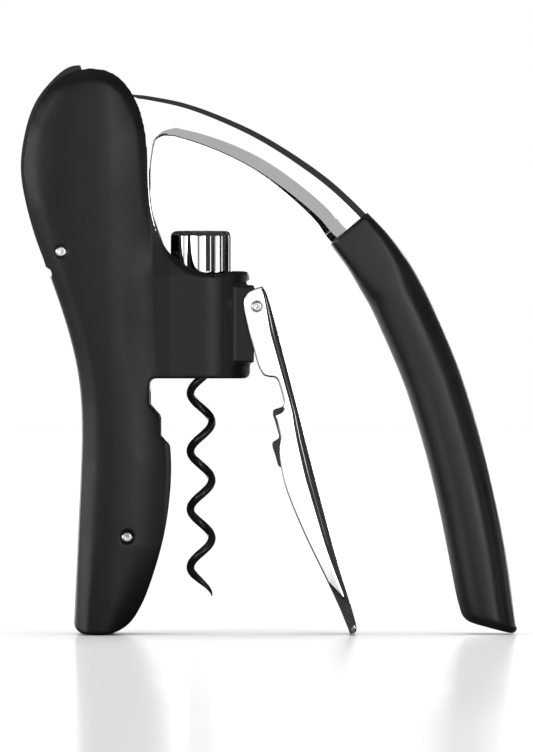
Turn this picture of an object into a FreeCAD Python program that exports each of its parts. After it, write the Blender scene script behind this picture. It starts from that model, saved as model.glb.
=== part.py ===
"""Lever corkscrew: a one-piece handle and collar that grips a bottle neck, a clamp handle hinged on
the collar, and a long lever whose fork drives a carriage and its worm down through a nut.

Row frame, millimetres: +Z up, +X from the rear of the housing towards the lever's grip, +Y across.
The origin is at the middle of the overall box, on the surface that the corkscrew stands on.
Side-view points are (x, z). Apart from the worm, its nut and the spring, the design is symmetric
about the plane y = 0.
"""

import FreeCAD, Part
import math
import os

V = FreeCAD.Vector

# ---------------------------------------------------------------- driving dimensions
WORM_X = -19.2                         # axis of the worm and of the bottle
SEAT_Z = 71.5                          # height of the collar's face that sits on the bottle
COLLAR_R = 13.7                        # rounded front of the collar
HOUSING_HALF = 15.0                    # half width of the housing
BULB_INNER = 12.2                      # half width between the walls of the bulb
POCKET_R = 11.4                        # half width of the collar's pocket
POCKET_FLOOR = 85.4

STROKE = 60.0                          # travel of the carriage
LEVER_SWING = math.radians(85.0)
LINK_RATIO = 0.48                      # turn of the rear link for each unit of the lever's turn
CLAMP_CLOSE = math.radians(15.3)

FORK_PIVOT = (WORM_X, 96.5)            # joins the lever's fork to the carriage
HEAD_ARM = 42.0                        # fork pivot to head pin
HEAD_ANGLE = math.radians(125.0)
LINK_PIVOT = (-58.1, 106.9)            # pin of the rear link
LINK_REACH = 28.45                     # rear link's pin to the middle of its slot
LINER_PIN = (-39.7, 27.3)
CLAMP_PIVOT = (-3.6, 91.6)
PIN_R = 1.5
RUN = 0.05                             # radial running clearance

LEVER_HALF = 10.0
FORK_INNER = 8.0
FORK_SCREW_R = 2.0
HEAD_PIN_R = 1.4
ROLLER_R = 2.0
ROLLER_RUN = 0.6                       # clearance of the rollers in the rear link's slot
TANG_HALF = 3.0
LINK_HALF = 11.9
LINK_INNER = 10.3

WORM_PITCH = 16.24
WORM_WIRE_R = 1.13
WORM_R = 3.0
WORM_TIP_Z = 10.7
WORM_LEFT_Z = 18.7                     # a height where the helix is at its rearmost
WORM_HEAD_Z = 85.8                     # underside of the flange on the worm's stem
STEM_R = 2.6
GROOVE_R = 2.0                         # stem's groove for the open ring
GROOVE_Z = (94.9, 95.7)
NUT_R = 9.0
NUT_CLEARANCE = 0.22                   # of the worm's wire in the nut
NUT_Z = (73.0, 84.4)
THROAT_R = 5.2
SEAT_R = 11.2                          # rubber ring that the bottle's lip meets

NECK_R = 14.6                          # bottle neck, and the two wider rings above it
RING_R = 16.1
MOUTH_R = 18.2
LEDGES = (54.0, 62.6)                  # heights where the jaws step out to the wider rings
CHANNEL_HALF = 11.5                    # half width of the channel in the rear handle

CLAMP_HALF = 13.0
CLAMP_INNER = 11.0
CLAMP_BLIND = 12.0                     # the stop pin and rivet end inside the clamp's sides
STOP_PIN = (-2.6, 96.0)
STOP_PIN_R = 1.0
CLAMP_RIVET = (8.6, 42.0)
CLAMP_RIVET_R = 1.3
BOSS_HALF = 10.4

BLOCK_HALF = 7.6
BLOCK_Z = (88.2, 99.4)
POST_R = 4.0
POST_TOP = 109.7
KNOB_R = 9.0
KNOB_Z = (100.3, 112.8)
KNOB_FLUTES = 6
GRIP_HALF = 11.0
GRIP_RIVETS = ((34.2, 95.5), (42.8, 76.5))
GRIP_RIVET_R = 1.5
GRIP_RIVET_HALF = 7.0
EDGE_R = 4.5                           # rounding of the housing's and the grip's long edges
THROUGH = 30.0                         # half length of a cut that goes right through


# ---------------------------------------------------------------- helpers
def at(p, y=0.0):
    """The side-view point p = (x, z), at the given y."""
    return V(p[0], y, p[1])


def chain(*runs):
    """A closed side-view wire. A run is a list of points: two make a line, more make a curve."""
    edges = []
    for points in runs:
        points = [at(p) for p in points]
        if len(points) == 2:
            edges.append(Part.LineSegment(*points).toShape())
        elif len(points) == 3:
            edges.append(Part.Arc(*points).toShape())
        else:
            curve = Part.BSplineCurve()
            curve.interpolate(points)
            edges.append(curve.toShape())
    return Part.Wire(edges)


def polygon(points):
    """A closed side-view wire through the points, joined by straight lines."""
    return Part.makePolygon([at(p) for p in points] + [at(points[0])])


def slab(wire, half):
    """The wire's area, from y = -half to half."""
    face = Part.Face(wire)
    face.translate(V(0, -half, 0))
    return face.extrude(V(0, 2 * half, 0))


def mirrored(shape):
    """The shape and its mirror image across y = 0, as one compound."""
    return Part.makeCompound([shape, shape.mirror(V(0, 0, 0), V(0, 1, 0))])


def cross_pin(p, radius, half):
    """A round pin along Y through the side-view point p, from y = -half to half."""
    return Part.makeCylinder(radius, 2 * half, at(p, -half), V(0, 1, 0))


def stud(p, radius, inner, outer):
    """A round pin along Y through p, from y = inner to outer."""
    return Part.makeCylinder(radius, outer - inner, at(p, inner), V(0, 1, 0))


def upright(radius, z0, z1):
    """A cylinder on the worm's axis."""
    return Part.makeCylinder(radius, z1 - z0, V(WORM_X, 0, z0))


def box(x0, x1, half, z0, z1):
    """A box that is symmetric about y = 0."""
    return Part.makeBox(x1 - x0, 2 * half, z1 - z0, V(x0, -half, z0))


def turn(shape, centre, angle):
    """A copy of the shape, turned about Y through centre, counter-clockwise as seen from -Y."""
    copy = shape.copy()
    copy.rotate(at(centre), V(0, -1, 0), math.degrees(angle))
    return copy


def polar(centre, radius, angle):
    """The side-view point at this distance and direction from centre."""
    return (centre[0] + radius * math.cos(angle), centre[1] + radius * math.sin(angle))


def soften(shape, radius, half, wanted=lambda e: True):
    """Fillets the wanted edges that lie in the side planes y = -half and y = half."""
    def on_side(e):
        b = e.BoundBox
        return b.YMax - b.YMin < 1e-3 and abs(abs(b.YMax) - half) < 1e-3
    return shape.makeFillet(radius, [e for e in shape.Edges if on_side(e) and wanted(e)])


def save(name, shape):
    """Writes one named sub-part, and stops if it isn't made of valid closed solids."""
    if not shape.Solids or not shape.isValid():
        raise RuntimeError(f"{name} is not a valid solid")
    if len(shape.Solids) == 1:
        shape = shape.Solids[0]
    shape.exportStep(f"parts/{name}.step")
    b = shape.optimalBoundingBox()
    print(f"{name:22s} {len(shape.Solids)} solid(s) {shape.Volume:9.1f} mm3  "
          f"x {b.XMin:6.1f} {b.XMax:6.1f}  y {b.YMin:5.1f} {b.YMax:5.1f}  z {b.ZMin:6.1f} {b.ZMax:6.1f}")


# ---------------------------------------------------------------- housing
def housing_outline():
    """Side view of the housing: rear handle, collar and the bulb's two walls."""
    front = WORM_X + COLLAR_R
    ring_z, neck_z = LEDGES[1], LEDGES[0]
    return chain(
        [(-54.6, 3.9), (-54.3, 9.4), (-53.5, 31.8), (-52.6, 50.0), (-53.2, 71.0), (-57.1, 87.8),
         (-62.4, 102.8)],
        [(-62.4, 102.8), (-62.3, 104.4)],
        [(-62.3, 104.4), (-66.4, 115.8), (-69.0, 129.5), (-66.8, 143.5), (-60.6, 154.2),
         (-55.0, 157.8), (-52.0, 158.1)],
        [(-52.0, 158.1), (-48.0, 157.9), (-43.6, 157.1), (-40.2, 154.9), (-36.8, 149.4),
         (-34.8, 143.0), (-33.3, 127.0), (-32.0, 115.8), (-27.0, 106.5), (-18.1, 101.0),
         (-15.4, 100.0)],
        [(-15.4, 100.0), (-10.6, 101.5)],
        [(-10.6, 101.5), (front - 1.5, 101.5)],
        [(front - 1.5, 101.5), (front - 0.44, 101.06), (front, 100.0)],
        [(front, 100.0), (front, SEAT_Z + 1.7)],
        [(front, SEAT_Z + 1.7), (front - 0.5, SEAT_Z + 0.5), (front - 1.7, SEAT_Z)],
        [(front - 1.7, SEAT_Z), (-32.2, SEAT_Z)],
        [(-32.2, SEAT_Z), (-33.05, SEAT_Z - 0.35), (-33.4, SEAT_Z - 1.2)],
        [(-33.4, SEAT_Z - 1.2), (-33.4, ring_z + 1.7)],
        [(-33.4, ring_z + 1.7), (-30.8, ring_z - 1.2)],
        [(-30.8, ring_z - 1.2), (-30.5, ring_z - 2.2)],
        [(-30.5, ring_z - 2.2), (-30.5, neck_z + 1.5)],
        [(-30.5, neck_z + 1.5), (-28.0, neck_z - 1.2)],
        [(-28.0, neck_z - 1.2), (-27.7, 48.0), (-28.2, 37.4), (-30.0, 26.2), (-33.2, 15.0),
         (-36.7, 6.6), (-39.4, 3.0), (-43.0, 0.8), (-47.2, 0.0)],
        [(-47.2, 0.0), (-51.0, 0.2)],
        [(-51.0, 0.2), (-53.7, 1.4), (-54.6, 3.9)],
    )


def rounding_outline():
    """Side view of a taller block whose long rear and top edge gives the housing its rounding."""
    return chain(
        [(-55.0, -14.0), (-54.3, 9.4), (-52.7, 45.0), (-53.2, 71.0), (-57.1, 87.8), (-62.4, 103.2),
         (-66.6, 115.8), (-69.1, 129.5), (-66.9, 143.5), (-60.7, 154.3), (-53.0, 158.2),
         (-43.6, 157.2), (-36.8, 149.4), (-33.3, 127.0), (-32.0, 115.8), (-27.0, 106.5),
         (-18.1, 101.4), (-8.0, 104.0), (10.0, 112.0)],
        [(10.0, 112.0), (10.0, -14.0)],
        [(10.0, -14.0), (-55.0, -14.0)],
    )


def plan_outline():
    """Plan of the housing: full width at the rear, narrowing to the collar's rounded front."""
    h, r = HOUSING_HALF, COLLAR_R
    corners = [V(-80, h, 0), V(-80, -h, 0), V(-44, -h, 0), V(WORM_X, -r, 0)]
    edges = [Part.LineSegment(a, b).toShape() for a, b in zip(corners, corners[1:])]
    edges.append(Part.Arc(V(WORM_X, -r, 0), V(WORM_X + r, 0, 0), V(WORM_X, r, 0)).toShape())
    corners = [V(WORM_X, r, 0), V(-44, h, 0), V(-80, h, 0)]
    edges += [Part.LineSegment(a, b).toShape() for a, b in zip(corners, corners[1:])]
    return Part.Wire(edges)


def body_casting():
    body = slab(housing_outline(), HOUSING_HALF)
    body = body.common(soften(slab(rounding_outline(), HOUSING_HALF), EDGE_R, HOUSING_HALF,
                              lambda e: e.BoundBox.ZLength > 150))
    plan = Part.Face(plan_outline())
    plan.translate(V(0, 0, -5))
    body = body.common(plan.extrude(V(0, 0, 180)))
    # The space between the bulb's walls, for the lever's head and the rear link.
    space = polygon([(-80, 100.3), (-36.0, 100.3), (-34.0, 98.0), (-28.0, 98.0), (-28.0, 104.0),
                     (-24.0, 110.0), (-24.0, 170.0), (-80, 170.0)])
    body = body.cut(slab(space, BULB_INNER))
    # The collar's pocket, for the carriage and the fork.
    pocket = polygon([(-40.0, 100.5), (-31.0, 90.0), (-31.0, POCKET_FLOOR), (WORM_X, POCKET_FLOOR),
                      (WORM_X, 120.0), (-40.0, 120.0)])
    body = body.cut(slab(pocket, POCKET_R)).cut(upright(POCKET_R, POCKET_FLOOR, 120))
    # Bores on the worm's axis: seat ring, nut and the way through.
    body = body.cut(upright(NUT_R, SEAT_Z - 1, POCKET_FLOOR))
    body = body.cut(upright(SEAT_R, SEAT_Z - 1, NUT_Z[0]))
    # The channel of the rear handle, open to the front.
    body = body.cut(slab(channel_outline(), CHANNEL_HALF))
    # The boss that carries the clamp handle, with a gap for its spring.
    body = body.fuse(clamp_boss()).cut(box(-6.7, 5.0, 4.6, 84.0, 99.0))
    for p in (LINK_PIVOT, LINER_PIN, CLAMP_PIVOT):
        body = body.cut(cross_pin(p, PIN_R, THROUGH))
    return body.removeSplitter()


def channel_outline():
    """Side view of the channel in the rear handle."""
    return chain(
        [(-47.0, 12.0), (-46.2, 50.0)],
        [(-46.2, 50.0), (-46.2, 60.0)],
        [(-46.2, 60.0), (-44.4, 65.2), (-39.5, 67.6)],
        [(-39.5, 67.6), (-20.0, 67.6)],
        [(-20.0, 67.6), (-20.0, 5.0)],
        [(-20.0, 5.0), (-41.0, 5.0)],
        [(-41.0, 5.0), (-45.2, 7.2), (-47.0, 12.0)],
    )


def clamp_boss():
    """Block on the front of the collar that carries the clamp handle's hinge pin and spring."""
    outline = chain(
        [(-13.0, 97.6), (-4.2, 97.6)],
        [(-4.2, 97.6), (-4.2, 94.6)],
        [(-4.2, 94.6), (-1.5, 93.74), (-0.6, 91.6)],
        [(-0.6, 91.6), (-0.8, 90.0)],
        [(-0.8, 90.0), (-4.4, 80.0)],
        [(-4.4, 80.0), (-4.4, 76.0)],
        [(-4.4, 76.0), (-13.0, 76.0)],
        [(-13.0, 76.0), (-13.0, 97.6)],
    )
    return slab(outline, BOSS_HALF).cut(upright(POCKET_R, 70, 120))


def jaw_rings(z_bottom):
    """The bottle's neck and rings, which the jaws' liners are hollowed to."""
    return (upright(NECK_R, z_bottom, LEDGES[0])
            .fuse(upright(RING_R, LEDGES[0], LEDGES[1]))
            .fuse(upright(MOUTH_R, LEDGES[1], 69.0)))


def body_jaw_liner():
    """Rubber lining of the rear handle's channel, hollowed to the bottle."""
    block = slab(channel_outline(), CHANNEL_HALF)
    block = block.common(box(-60, -28.3, 20, 12.5, 67.6)).cut(jaw_rings(5))
    return block.common(slab(housing_outline(), 20)).cut(cross_pin(LINER_PIN, PIN_R, THROUGH))


def bottle_seat_ring():
    return upright(SEAT_R, SEAT_Z, NUT_Z[0]).cut(upright(THROAT_R, SEAT_Z - 1, NUT_Z[0] + 1))


def plain_pin(p, half):
    """A steel pin with lightly bevelled ends."""
    pin = cross_pin(p, PIN_R, half)
    return pin.makeChamfer(0.25, [e for e in pin.Edges if e.BoundBox.YMax - e.BoundBox.YMin < 1e-3])


# ---------------------------------------------------------------- worm and nut
def helix_angle(z):
    """Direction of the worm's wire from its axis, seen from above, at this height."""
    return math.pi + 2 * math.pi * (z - WORM_LEFT_Z) / WORM_PITCH


def helix_rod(wire_r, z0, z1):
    """Round wire swept along the worm's helix between two heights."""
    path = Part.makeHelix(WORM_PITCH, z1 - z0, WORM_R)
    climb = WORM_PITCH / (2 * math.pi)
    end = Part.Wire(Part.Circle(V(WORM_R, 0, 0), V(0, WORM_R, climb), wire_r).toShape())
    rod = Part.Wire(path).makePipeShell([end], True, True)
    rod.rotate(V(0, 0, 0), V(0, 0, 1), math.degrees(helix_angle(z0)))
    rod.translate(V(WORM_X, 0, z0))
    return rod


def worm():
    """The worm, its flange and the stem that turns in the carriage."""
    point_length = 5.0
    slope = math.hypot(2 * math.pi * WORM_R, WORM_PITCH)
    z0 = WORM_TIP_Z + point_length * WORM_PITCH / slope
    angle = helix_angle(z0)
    start = V(WORM_X + WORM_R * math.cos(angle), WORM_R * math.sin(angle), z0)
    down = V(math.sin(angle), -math.cos(angle), 0) * (2 * math.pi * WORM_R / slope)
    down.z = -WORM_PITCH / slope
    point = Part.makeCone(WORM_WIRE_R, 0.12, point_length, start, down)
    rod = helix_rod(WORM_WIRE_R, z0, WORM_HEAD_Z + 0.3)
    flange = upright(4.3, WORM_HEAD_Z, WORM_HEAD_Z + 1.2)
    stem = upright(STEM_R, WORM_HEAD_Z + 1.2, 96.3)
    groove = upright(STEM_R + 0.4, *GROOVE_Z).cut(upright(GROOVE_R, 94, 97))
    return rod.fuse([point, flange, stem]).cut(groove)


def worm_nut():
    """Bush with the helical way that turns the worm as it passes."""
    bush = upright(NUT_R, *NUT_Z)
    return bush.cut(helix_rod(WORM_WIRE_R + NUT_CLEARANCE, NUT_Z[0] - 3, NUT_Z[1] + 3))


def nut_retainer():
    return upright(NUT_R, NUT_Z[1], POCKET_FLOOR - 0.1).cut(upright(THROAT_R, 70, 90))


# ---------------------------------------------------------------- carriage
def carriage_block():
    body = box(-26.4, -12.0, BLOCK_HALF, *BLOCK_Z)
    body = body.makeFillet(2.0, [e for e in body.Edges if e.BoundBox.ZLength > 5])
    body = body.cut(upright(STEM_R + RUN, 80, 120)).cut(upright(5.2, 94.5, 120))
    return body.cut(cross_pin(FORK_PIVOT, FORK_SCREW_R, THROUGH).cut(upright(5.3, 80, 120)))


def carriage_pivot_screws():
    """The two shouldered screws that the fork turns on."""
    shank = stud(FORK_PIVOT, FORK_SCREW_R, 5.8, 10.3)
    head = stud(FORK_PIVOT, 2.9, 10.3, 10.7)
    slot = Part.makeBox(7, 0.3, 0.7, at((FORK_PIVOT[0] - 3.5, FORK_PIVOT[1] - 0.35), 10.5))
    return mirrored(shank.fuse(head).cut(slot))


def thrust_washer():
    return upright(5.5, 87.3, BLOCK_Z[0]).cut(upright(2.9, 80, 90))


def worm_ring():
    """Open ring in the worm stem's groove that keeps the worm in the carriage."""
    ring = upright(4.1, *GROOVE_Z).cut(upright(GROOVE_R, 94, 97))
    return ring.cut(Part.makeBox(6, 1.6, 2, V(WORM_X, -0.8, 94.5)))


def knob_post():
    return (upright(5.2, 97.0, BLOCK_Z[1]).fuse(upright(POST_R, BLOCK_Z[1], POST_TOP))
            .cut(upright(1.2, 100, 112)))


def release_knob():
    """Fluted round knob that turns on the carriage's post."""
    r, (z0, z1) = KNOB_R, KNOB_Z
    bore = WORM_X + POST_R + RUN
    side = chain(
        [(bore, z0), (WORM_X + r - 1.2, z0)],
        [(WORM_X + r - 1.2, z0), (WORM_X + r - 0.35, z0 + 0.35), (WORM_X + r, z0 + 1.2)],
        [(WORM_X + r, z0 + 1.2), (WORM_X + r, z1 - 2.6)],
        [(WORM_X + r, z1 - 2.6), (WORM_X + r - 0.76, z1 - 0.76), (WORM_X + r - 2.6, z1)],
        [(WORM_X + r - 2.6, z1), (WORM_X + 5.6, z1)],
        [(WORM_X + 5.6, z1), (WORM_X + 5.6, 109.4)],
        [(WORM_X + 5.6, 109.4), (bore, 109.4)],
        [(bore, 109.4), (bore, z0)],
    )
    knob = Part.Face(side).revolve(V(WORM_X, 0, 0), V(0, 0, 1), 360)
    for i in range(KNOB_FLUTES):
        angle = 2 * math.pi * i / KNOB_FLUTES
        reach = r + 1.5
        centre = V(WORM_X + reach * math.cos(angle), reach * math.sin(angle), z0 - 1)
        knob = knob.cut(Part.makeCylinder(2.1, z1 - z0 + 2, centre))
    return knob


def knob_screw():
    """Round-headed screw that keeps the knob on its post."""
    head = upright(5.1, POST_TOP, 111.4)
    top = [e for e in head.Edges if e.BoundBox.ZMin > 111.3]
    head = head.makeFillet(0.9, top)
    drive = Part.makeBox(6.4, 0.9, 1.0, V(WORM_X - 3.2, -0.45, 110.7))
    return head.fuse(upright(1.2, 101.0, POST_TOP)).cut(drive)


# ---------------------------------------------------------------- lever
def lever_outline():
    """Side view of the lever: fork, head in the bulb, and the arm up to the grip."""
    return chain(
        [(-16.0, 96.5), (-19.2, 93.3), (-21.6, 94.4)],
        [(-21.6, 94.4), (-28.6, 98.9), (-35.4, 105.6), (-41.6, 114.0), (-46.4, 123.4),
         (-48.2, 131.0), (-47.0, 138.2), (-43.4, 144.6), (-36.8, 150.6)],
        [(-36.8, 150.6), (-23.6, 148.3), (-13.2, 144.6), (-2.8, 139.8), (7.5, 133.6),
         (17.9, 126.0), (27.7, 116.7)],
        [(27.7, 116.7), (16.6, 110.4)],
        [(16.6, 110.4), (12.7, 115.7), (5.4, 122.6), (-2.8, 128.9), (-11.1, 133.5),
         (-19.4, 136.9), (-28.2, 139.5)],
        [(-28.2, 139.5), (-31.4, 138.9), (-32.5, 135.8)],
        [(-32.5, 135.8), (-32.75, 127.0), (-32.2, 119.0), (-30.6, 112.6), (-27.6, 106.0),
         (-23.6, 101.0), (-19.2, 99.7)],
        [(-19.2, 99.7), (-16.94, 98.76), (-16.0, 96.5)],
    )


def tang_outline():
    """Side view of the lever's tang, inside the grip."""
    return polygon([(24.4, 115.0), (33.0, 104.0), (43.2, 84.0), (48.8, 66.0), (44.2, 64.6),
                    (38.6, 82.0), (28.8, 101.0), (20.0, 112.4)])


def lever_arm():
    arm = slab(lever_outline(), LEVER_HALF)
    arm = soften(arm, 1.2, LEVER_HALF, lambda e: e.BoundBox.XMax > 0 and e.BoundBox.XMin < -10)
    gap = Part.makeCylinder(20.5, 2 * FORK_INNER, at(FORK_PIVOT, -FORK_INNER), V(0, 1, 0))
    arm = arm.cut(gap).cut(cross_pin(FORK_PIVOT, FORK_SCREW_R + RUN, THROUGH))
    arm = arm.fuse(slab(tang_outline(), TANG_HALF)).cut(cross_pin(head_pin_at(0), HEAD_PIN_R, THROUGH))
    for p in GRIP_RIVETS:
        arm = arm.cut(cross_pin(p, GRIP_RIVET_R, THROUGH))
    return arm


def head_pin_at(swing):
    """Place of the head pin when the lever has turned by this angle."""
    x, z = polar(FORK_PIVOT, HEAD_ARM, HEAD_ANGLE + swing)
    return (x, z + STROKE * swing / LEVER_SWING)


def grip_outline():
    """Side view of the grip."""
    return chain(
        [(27.7, 116.7), (32.2, 112.4), (36.6, 107.4), (45.3, 93.4), (52.5, 76.6), (56.9, 63.0),
         (60.2, 51.4), (66.2, 23.4), (69.2, 6.0)],
        [(69.2, 6.0), (69.2, 2.2), (65.6, 0.0)],
        [(65.6, 0.0), (57.0, 2.0)],
        [(57.0, 2.0), (54.6, 2.9), (53.2, 5.2)],
        [(53.2, 5.2), (49.8, 23.4), (43.5, 51.4), (39.6, 64.2), (35.0, 76.6), (27.1, 93.4),
         (22.2, 101.8), (16.6, 110.4)],
        [(16.6, 110.4), (27.7, 116.7)],
    )


def grip_rounding():
    """Side view of a longer grip, whose two long edges give the grip its rounding."""
    return chain(
        [(22.0, 125.0), (27.7, 116.8), (36.7, 107.4), (45.4, 93.4), (52.6, 76.6), (60.3, 51.4),
         (66.3, 23.4), (69.4, 2.0), (70.4, -8.0)],
        [(70.4, -8.0), (51.4, -8.0)],
        [(51.4, -8.0), (52.6, 4.8), (49.7, 23.4), (43.4, 51.4), (34.9, 76.6), (27.0, 93.4),
         (22.1, 101.8), (16.5, 110.4), (11.0, 118.0)],
        [(11.0, 118.0), (22.0, 125.0)],
    )


def lever_grip():
    """Soft grip moulded over the tang."""
    rounded = soften(slab(grip_rounding(), GRIP_HALF), EDGE_R, GRIP_HALF,
                     lambda e: e.BoundBox.ZLength > 50)
    grip = slab(grip_outline(), GRIP_HALF + 1).common(rounded)
    grip = grip.cut(slab(tang_outline(), TANG_HALF))
    for p in GRIP_RIVETS:
        grip = grip.cut(cross_pin(p, GRIP_RIVET_R, GRIP_RIVET_HALF))
    return grip


def grip_rivets():
    """Pins through the tang that lock the grip on the lever."""
    return Part.makeCompound([cross_pin(p, GRIP_RIVET_R, GRIP_RIVET_HALF) for p in GRIP_RIVETS])


def head_rollers():
    ring = stud(head_pin_at(0), ROLLER_R, LINK_INNER, LINK_HALF - 0.1)
    return mirrored(ring.cut(cross_pin(head_pin_at(0), HEAD_PIN_R + RUN, THROUGH)))


# ---------------------------------------------------------------- rear link
def link_direction(swing):
    """Direction of the head pin from the rear link's pin, measured on the link itself."""
    x, z = head_pin_at(swing)
    return math.atan2(z - LINK_PIVOT[1], x - LINK_PIVOT[0]) - LINK_RATIO * swing


def link_slot():
    """The curved slot in the rear link's cheeks that the head pin's rollers run in."""
    steps = 40
    directions = [link_direction(LEVER_SWING * i / steps) for i in range(steps + 1)]
    low, high = min(directions), max(directions)
    half_width = ROLLER_R + ROLLER_RUN
    r0, r1 = LINK_REACH - half_width, LINK_REACH + half_width
    mid = (low + high) / 2
    ends = [polar(LINK_PIVOT, LINK_REACH, a) for a in (low, high)]
    sector = chain(
        [polar(LINK_PIVOT, r0, low), polar(LINK_PIVOT, r0, mid), polar(LINK_PIVOT, r0, high)],
        [polar(LINK_PIVOT, r0, high), polar(LINK_PIVOT, r1, high)],
        [polar(LINK_PIVOT, r1, high), polar(LINK_PIVOT, r1, mid), polar(LINK_PIVOT, r1, low)],
        [polar(LINK_PIVOT, r1, low), polar(LINK_PIVOT, r0, low)],
    )
    slot = slab(sector, THROUGH)
    for p in ends:
        slot = slot.fuse(cross_pin(p, half_width, THROUGH))
    return slot


def rear_link():
    """Rocker at the rear of the bulb: a curved back plate between two slotted cheeks."""
    back = [(-63.1, 104.8), (-65.1, 110.2), (-68.2, 121.4), (-69.4, 130.4), (-68.6, 138.2),
            (-64.8, 149.4), (-60.3, 155.0), (-55.7, 158.4), (-52.8, 158.8)]
    front = chain(
        back,
        [(-52.8, 158.8), (-50.6, 152.0)],
        [(-50.6, 152.0), (-43.0, 143.0), (-36.6, 134.6), (-34.0, 127.6), (-35.0, 121.0),
         (-42.6, 110.4), (-53.6, 102.4)],
        [(-53.6, 102.4), (-58.0, 101.0), (-62.4, 102.6)],
        [(-62.4, 102.6), (-63.1, 104.8)],
    )
    inside = chain(
        [(-60.4, 104.0), (-62.6, 111.0), (-65.7, 121.9), (-66.9, 130.4), (-66.2, 137.6),
         (-62.6, 148.2), (-58.6, 153.2), (-54.8, 156.2), (-52.0, 156.6)],
        [(-52.0, 156.6), (-20.0, 156.6)],
        [(-20.0, 156.6), (-20.0, 90.0)],
        [(-20.0, 90.0), (-60.4, 90.0)],
        [(-60.4, 90.0), (-60.4, 104.0)],
    )
    link = slab(front, LINK_HALF).cut(slab(inside, LINK_INNER))
    return link.cut(link_slot()).cut(cross_pin(LINK_PIVOT, PIN_R + RUN, THROUGH))


# ---------------------------------------------------------------- clamp handle
def clamp_outline():
    """Side view of the clamp handle, open, as it hangs at rest."""
    return chain(
        [(-1.9, 97.2), (-0.2, 93.4)],
        [(-0.2, 93.4), (3.6, 79.4), (10.8, 51.4), (18.1, 23.4), (22.3, 9.4), (24.2, 2.6)],
        [(24.2, 2.6), (24.0, 0.8), (22.4, 0.3)],
        [(22.4, 0.3), (18.2, 10.4), (10.3, 26.8), (6.0, 36.8), (3.7, 43.0), (0.7, 52.5)],
        [(0.7, 52.5), (2.5, 54.6)],
        [(2.5, 54.6), (0.7, 61.8)],
        [(0.7, 61.8), (3.4, 63.9)],
        [(3.4, 63.9), (1.4, 71.9)],
        [(1.4, 71.9), (-1.9, 72.4)],
        [(-1.9, 72.4), (-3.3, 75.2)],
        [(-3.3, 75.2), (-5.9, 85.0), (-7.2, 91.4), (-6.0, 96.2)],
        [(-6.0, 96.2), (-4.2, 97.8), (-1.9, 97.2)],
    )


def clamp_inside():
    """Side view of the space between the clamp handle's sides, behind its front web."""
    return chain(
        [(0.1, 84.0), (1.4, 79.0), (8.6, 51.0), (15.9, 23.0), (20.0, 9.0), (21.6, 3.4)],
        [(21.6, 3.4), (-30.0, 3.4)],
        [(-30.0, 3.4), (-30.0, 110.0)],
        [(-30.0, 110.0), (10.0, 110.0)],
        [(10.0, 110.0), (10.0, 84.0)],
        [(10.0, 84.0), (0.1, 84.0)],
    )


def clamp_handle():
    handle = slab(clamp_outline(), CLAMP_HALF)
    handle = soften(handle, 1.9, CLAMP_HALF, lambda e: e.BoundBox.ZLength > 80)
    handle = handle.cut(slab(clamp_inside(), CLAMP_INNER))
    return handle.cut(cross_pin(CLAMP_PIVOT, PIN_R + RUN, THROUGH)).cut(clamp_stop_pin()).cut(clamp_rivet())


def clamp_stop_pin():
    """Pin across the top of the clamp handle, which stops it against the boss."""
    return cross_pin(STOP_PIN, STOP_PIN_R, CLAMP_BLIND)


def clamp_rivet():
    """Pin that holds the rubber lining in the clamp handle."""
    return cross_pin(CLAMP_RIVET, CLAMP_RIVET_R, CLAMP_BLIND)


def clamp_jaw_liner():
    """Rubber lining of the clamp handle, hollowed to the bottle in the closed position."""
    block = slab(clamp_inside(), CLAMP_INNER).common(box(-8, 30, 20, 14.0, 70.5))
    open_cut = turn(jaw_rings(-10), CLAMP_PIVOT, CLAMP_CLOSE)
    rim = chain(
        [(4.6, 71.0), (4.4, 64.2)],
        [(4.4, 64.2), (0.3, 61.6)],
        [(0.3, 61.6), (2.9, 54.4)],
        [(2.9, 54.4), (0.3, 52.3)],
        [(0.3, 52.3), (4.2, 42.8), (7.0, 35.8), (10.8, 27.2), (18.6, 12.0)],
        [(18.6, 12.0), (30.0, 12.0)],
        [(30.0, 12.0), (30.0, 71.0)],
        [(30.0, 71.0), (4.6, 71.0)],
    )
    block = block.common(slab(rim, 30)).cut(open_cut)
    return block.cut(clamp_rivet())


def clamp_washers():
    """Thin washers between the boss and the clamp handle's sides."""
    washer = stud(CLAMP_PIVOT, 3.0, BOSS_HALF, CLAMP_INNER - 0.3)
    return mirrored(washer.cut(cross_pin(CLAMP_PIVOT, PIN_R, THROUGH)))


def clamp_spring():
    """Torsion spring on the hinge pin: a coil and two straight legs."""
    wire_r, coil_r, pitch, turns, leg = 0.6, 2.2, 1.5, 3.5, 6.0
    length = pitch * turns
    path = Part.makeHelix(pitch, length, coil_r)
    end = Part.Wire(Part.Circle(V(coil_r, 0, 0), V(0, 1, 0), wire_r).toShape())
    coil = Part.Wire(path).makePipeShell([end], True, True)
    coil.rotate(V(0, 0, 0), V(1, 0, 0), 90)
    coil.translate(at(CLAMP_PIVOT, length / 2))
    x, z = CLAMP_PIVOT
    leg_r = wire_r * 1.1
    front = Part.makeCylinder(leg_r, leg, V(x + coil_r, length / 2, z + 0.3), V(0, 0, -1))
    rear = Part.makeCylinder(leg_r, leg, V(x - coil_r, -length / 2, z + 0.3), V(0, 0, -1))
    return coil.fuse([front, rear])


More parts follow.
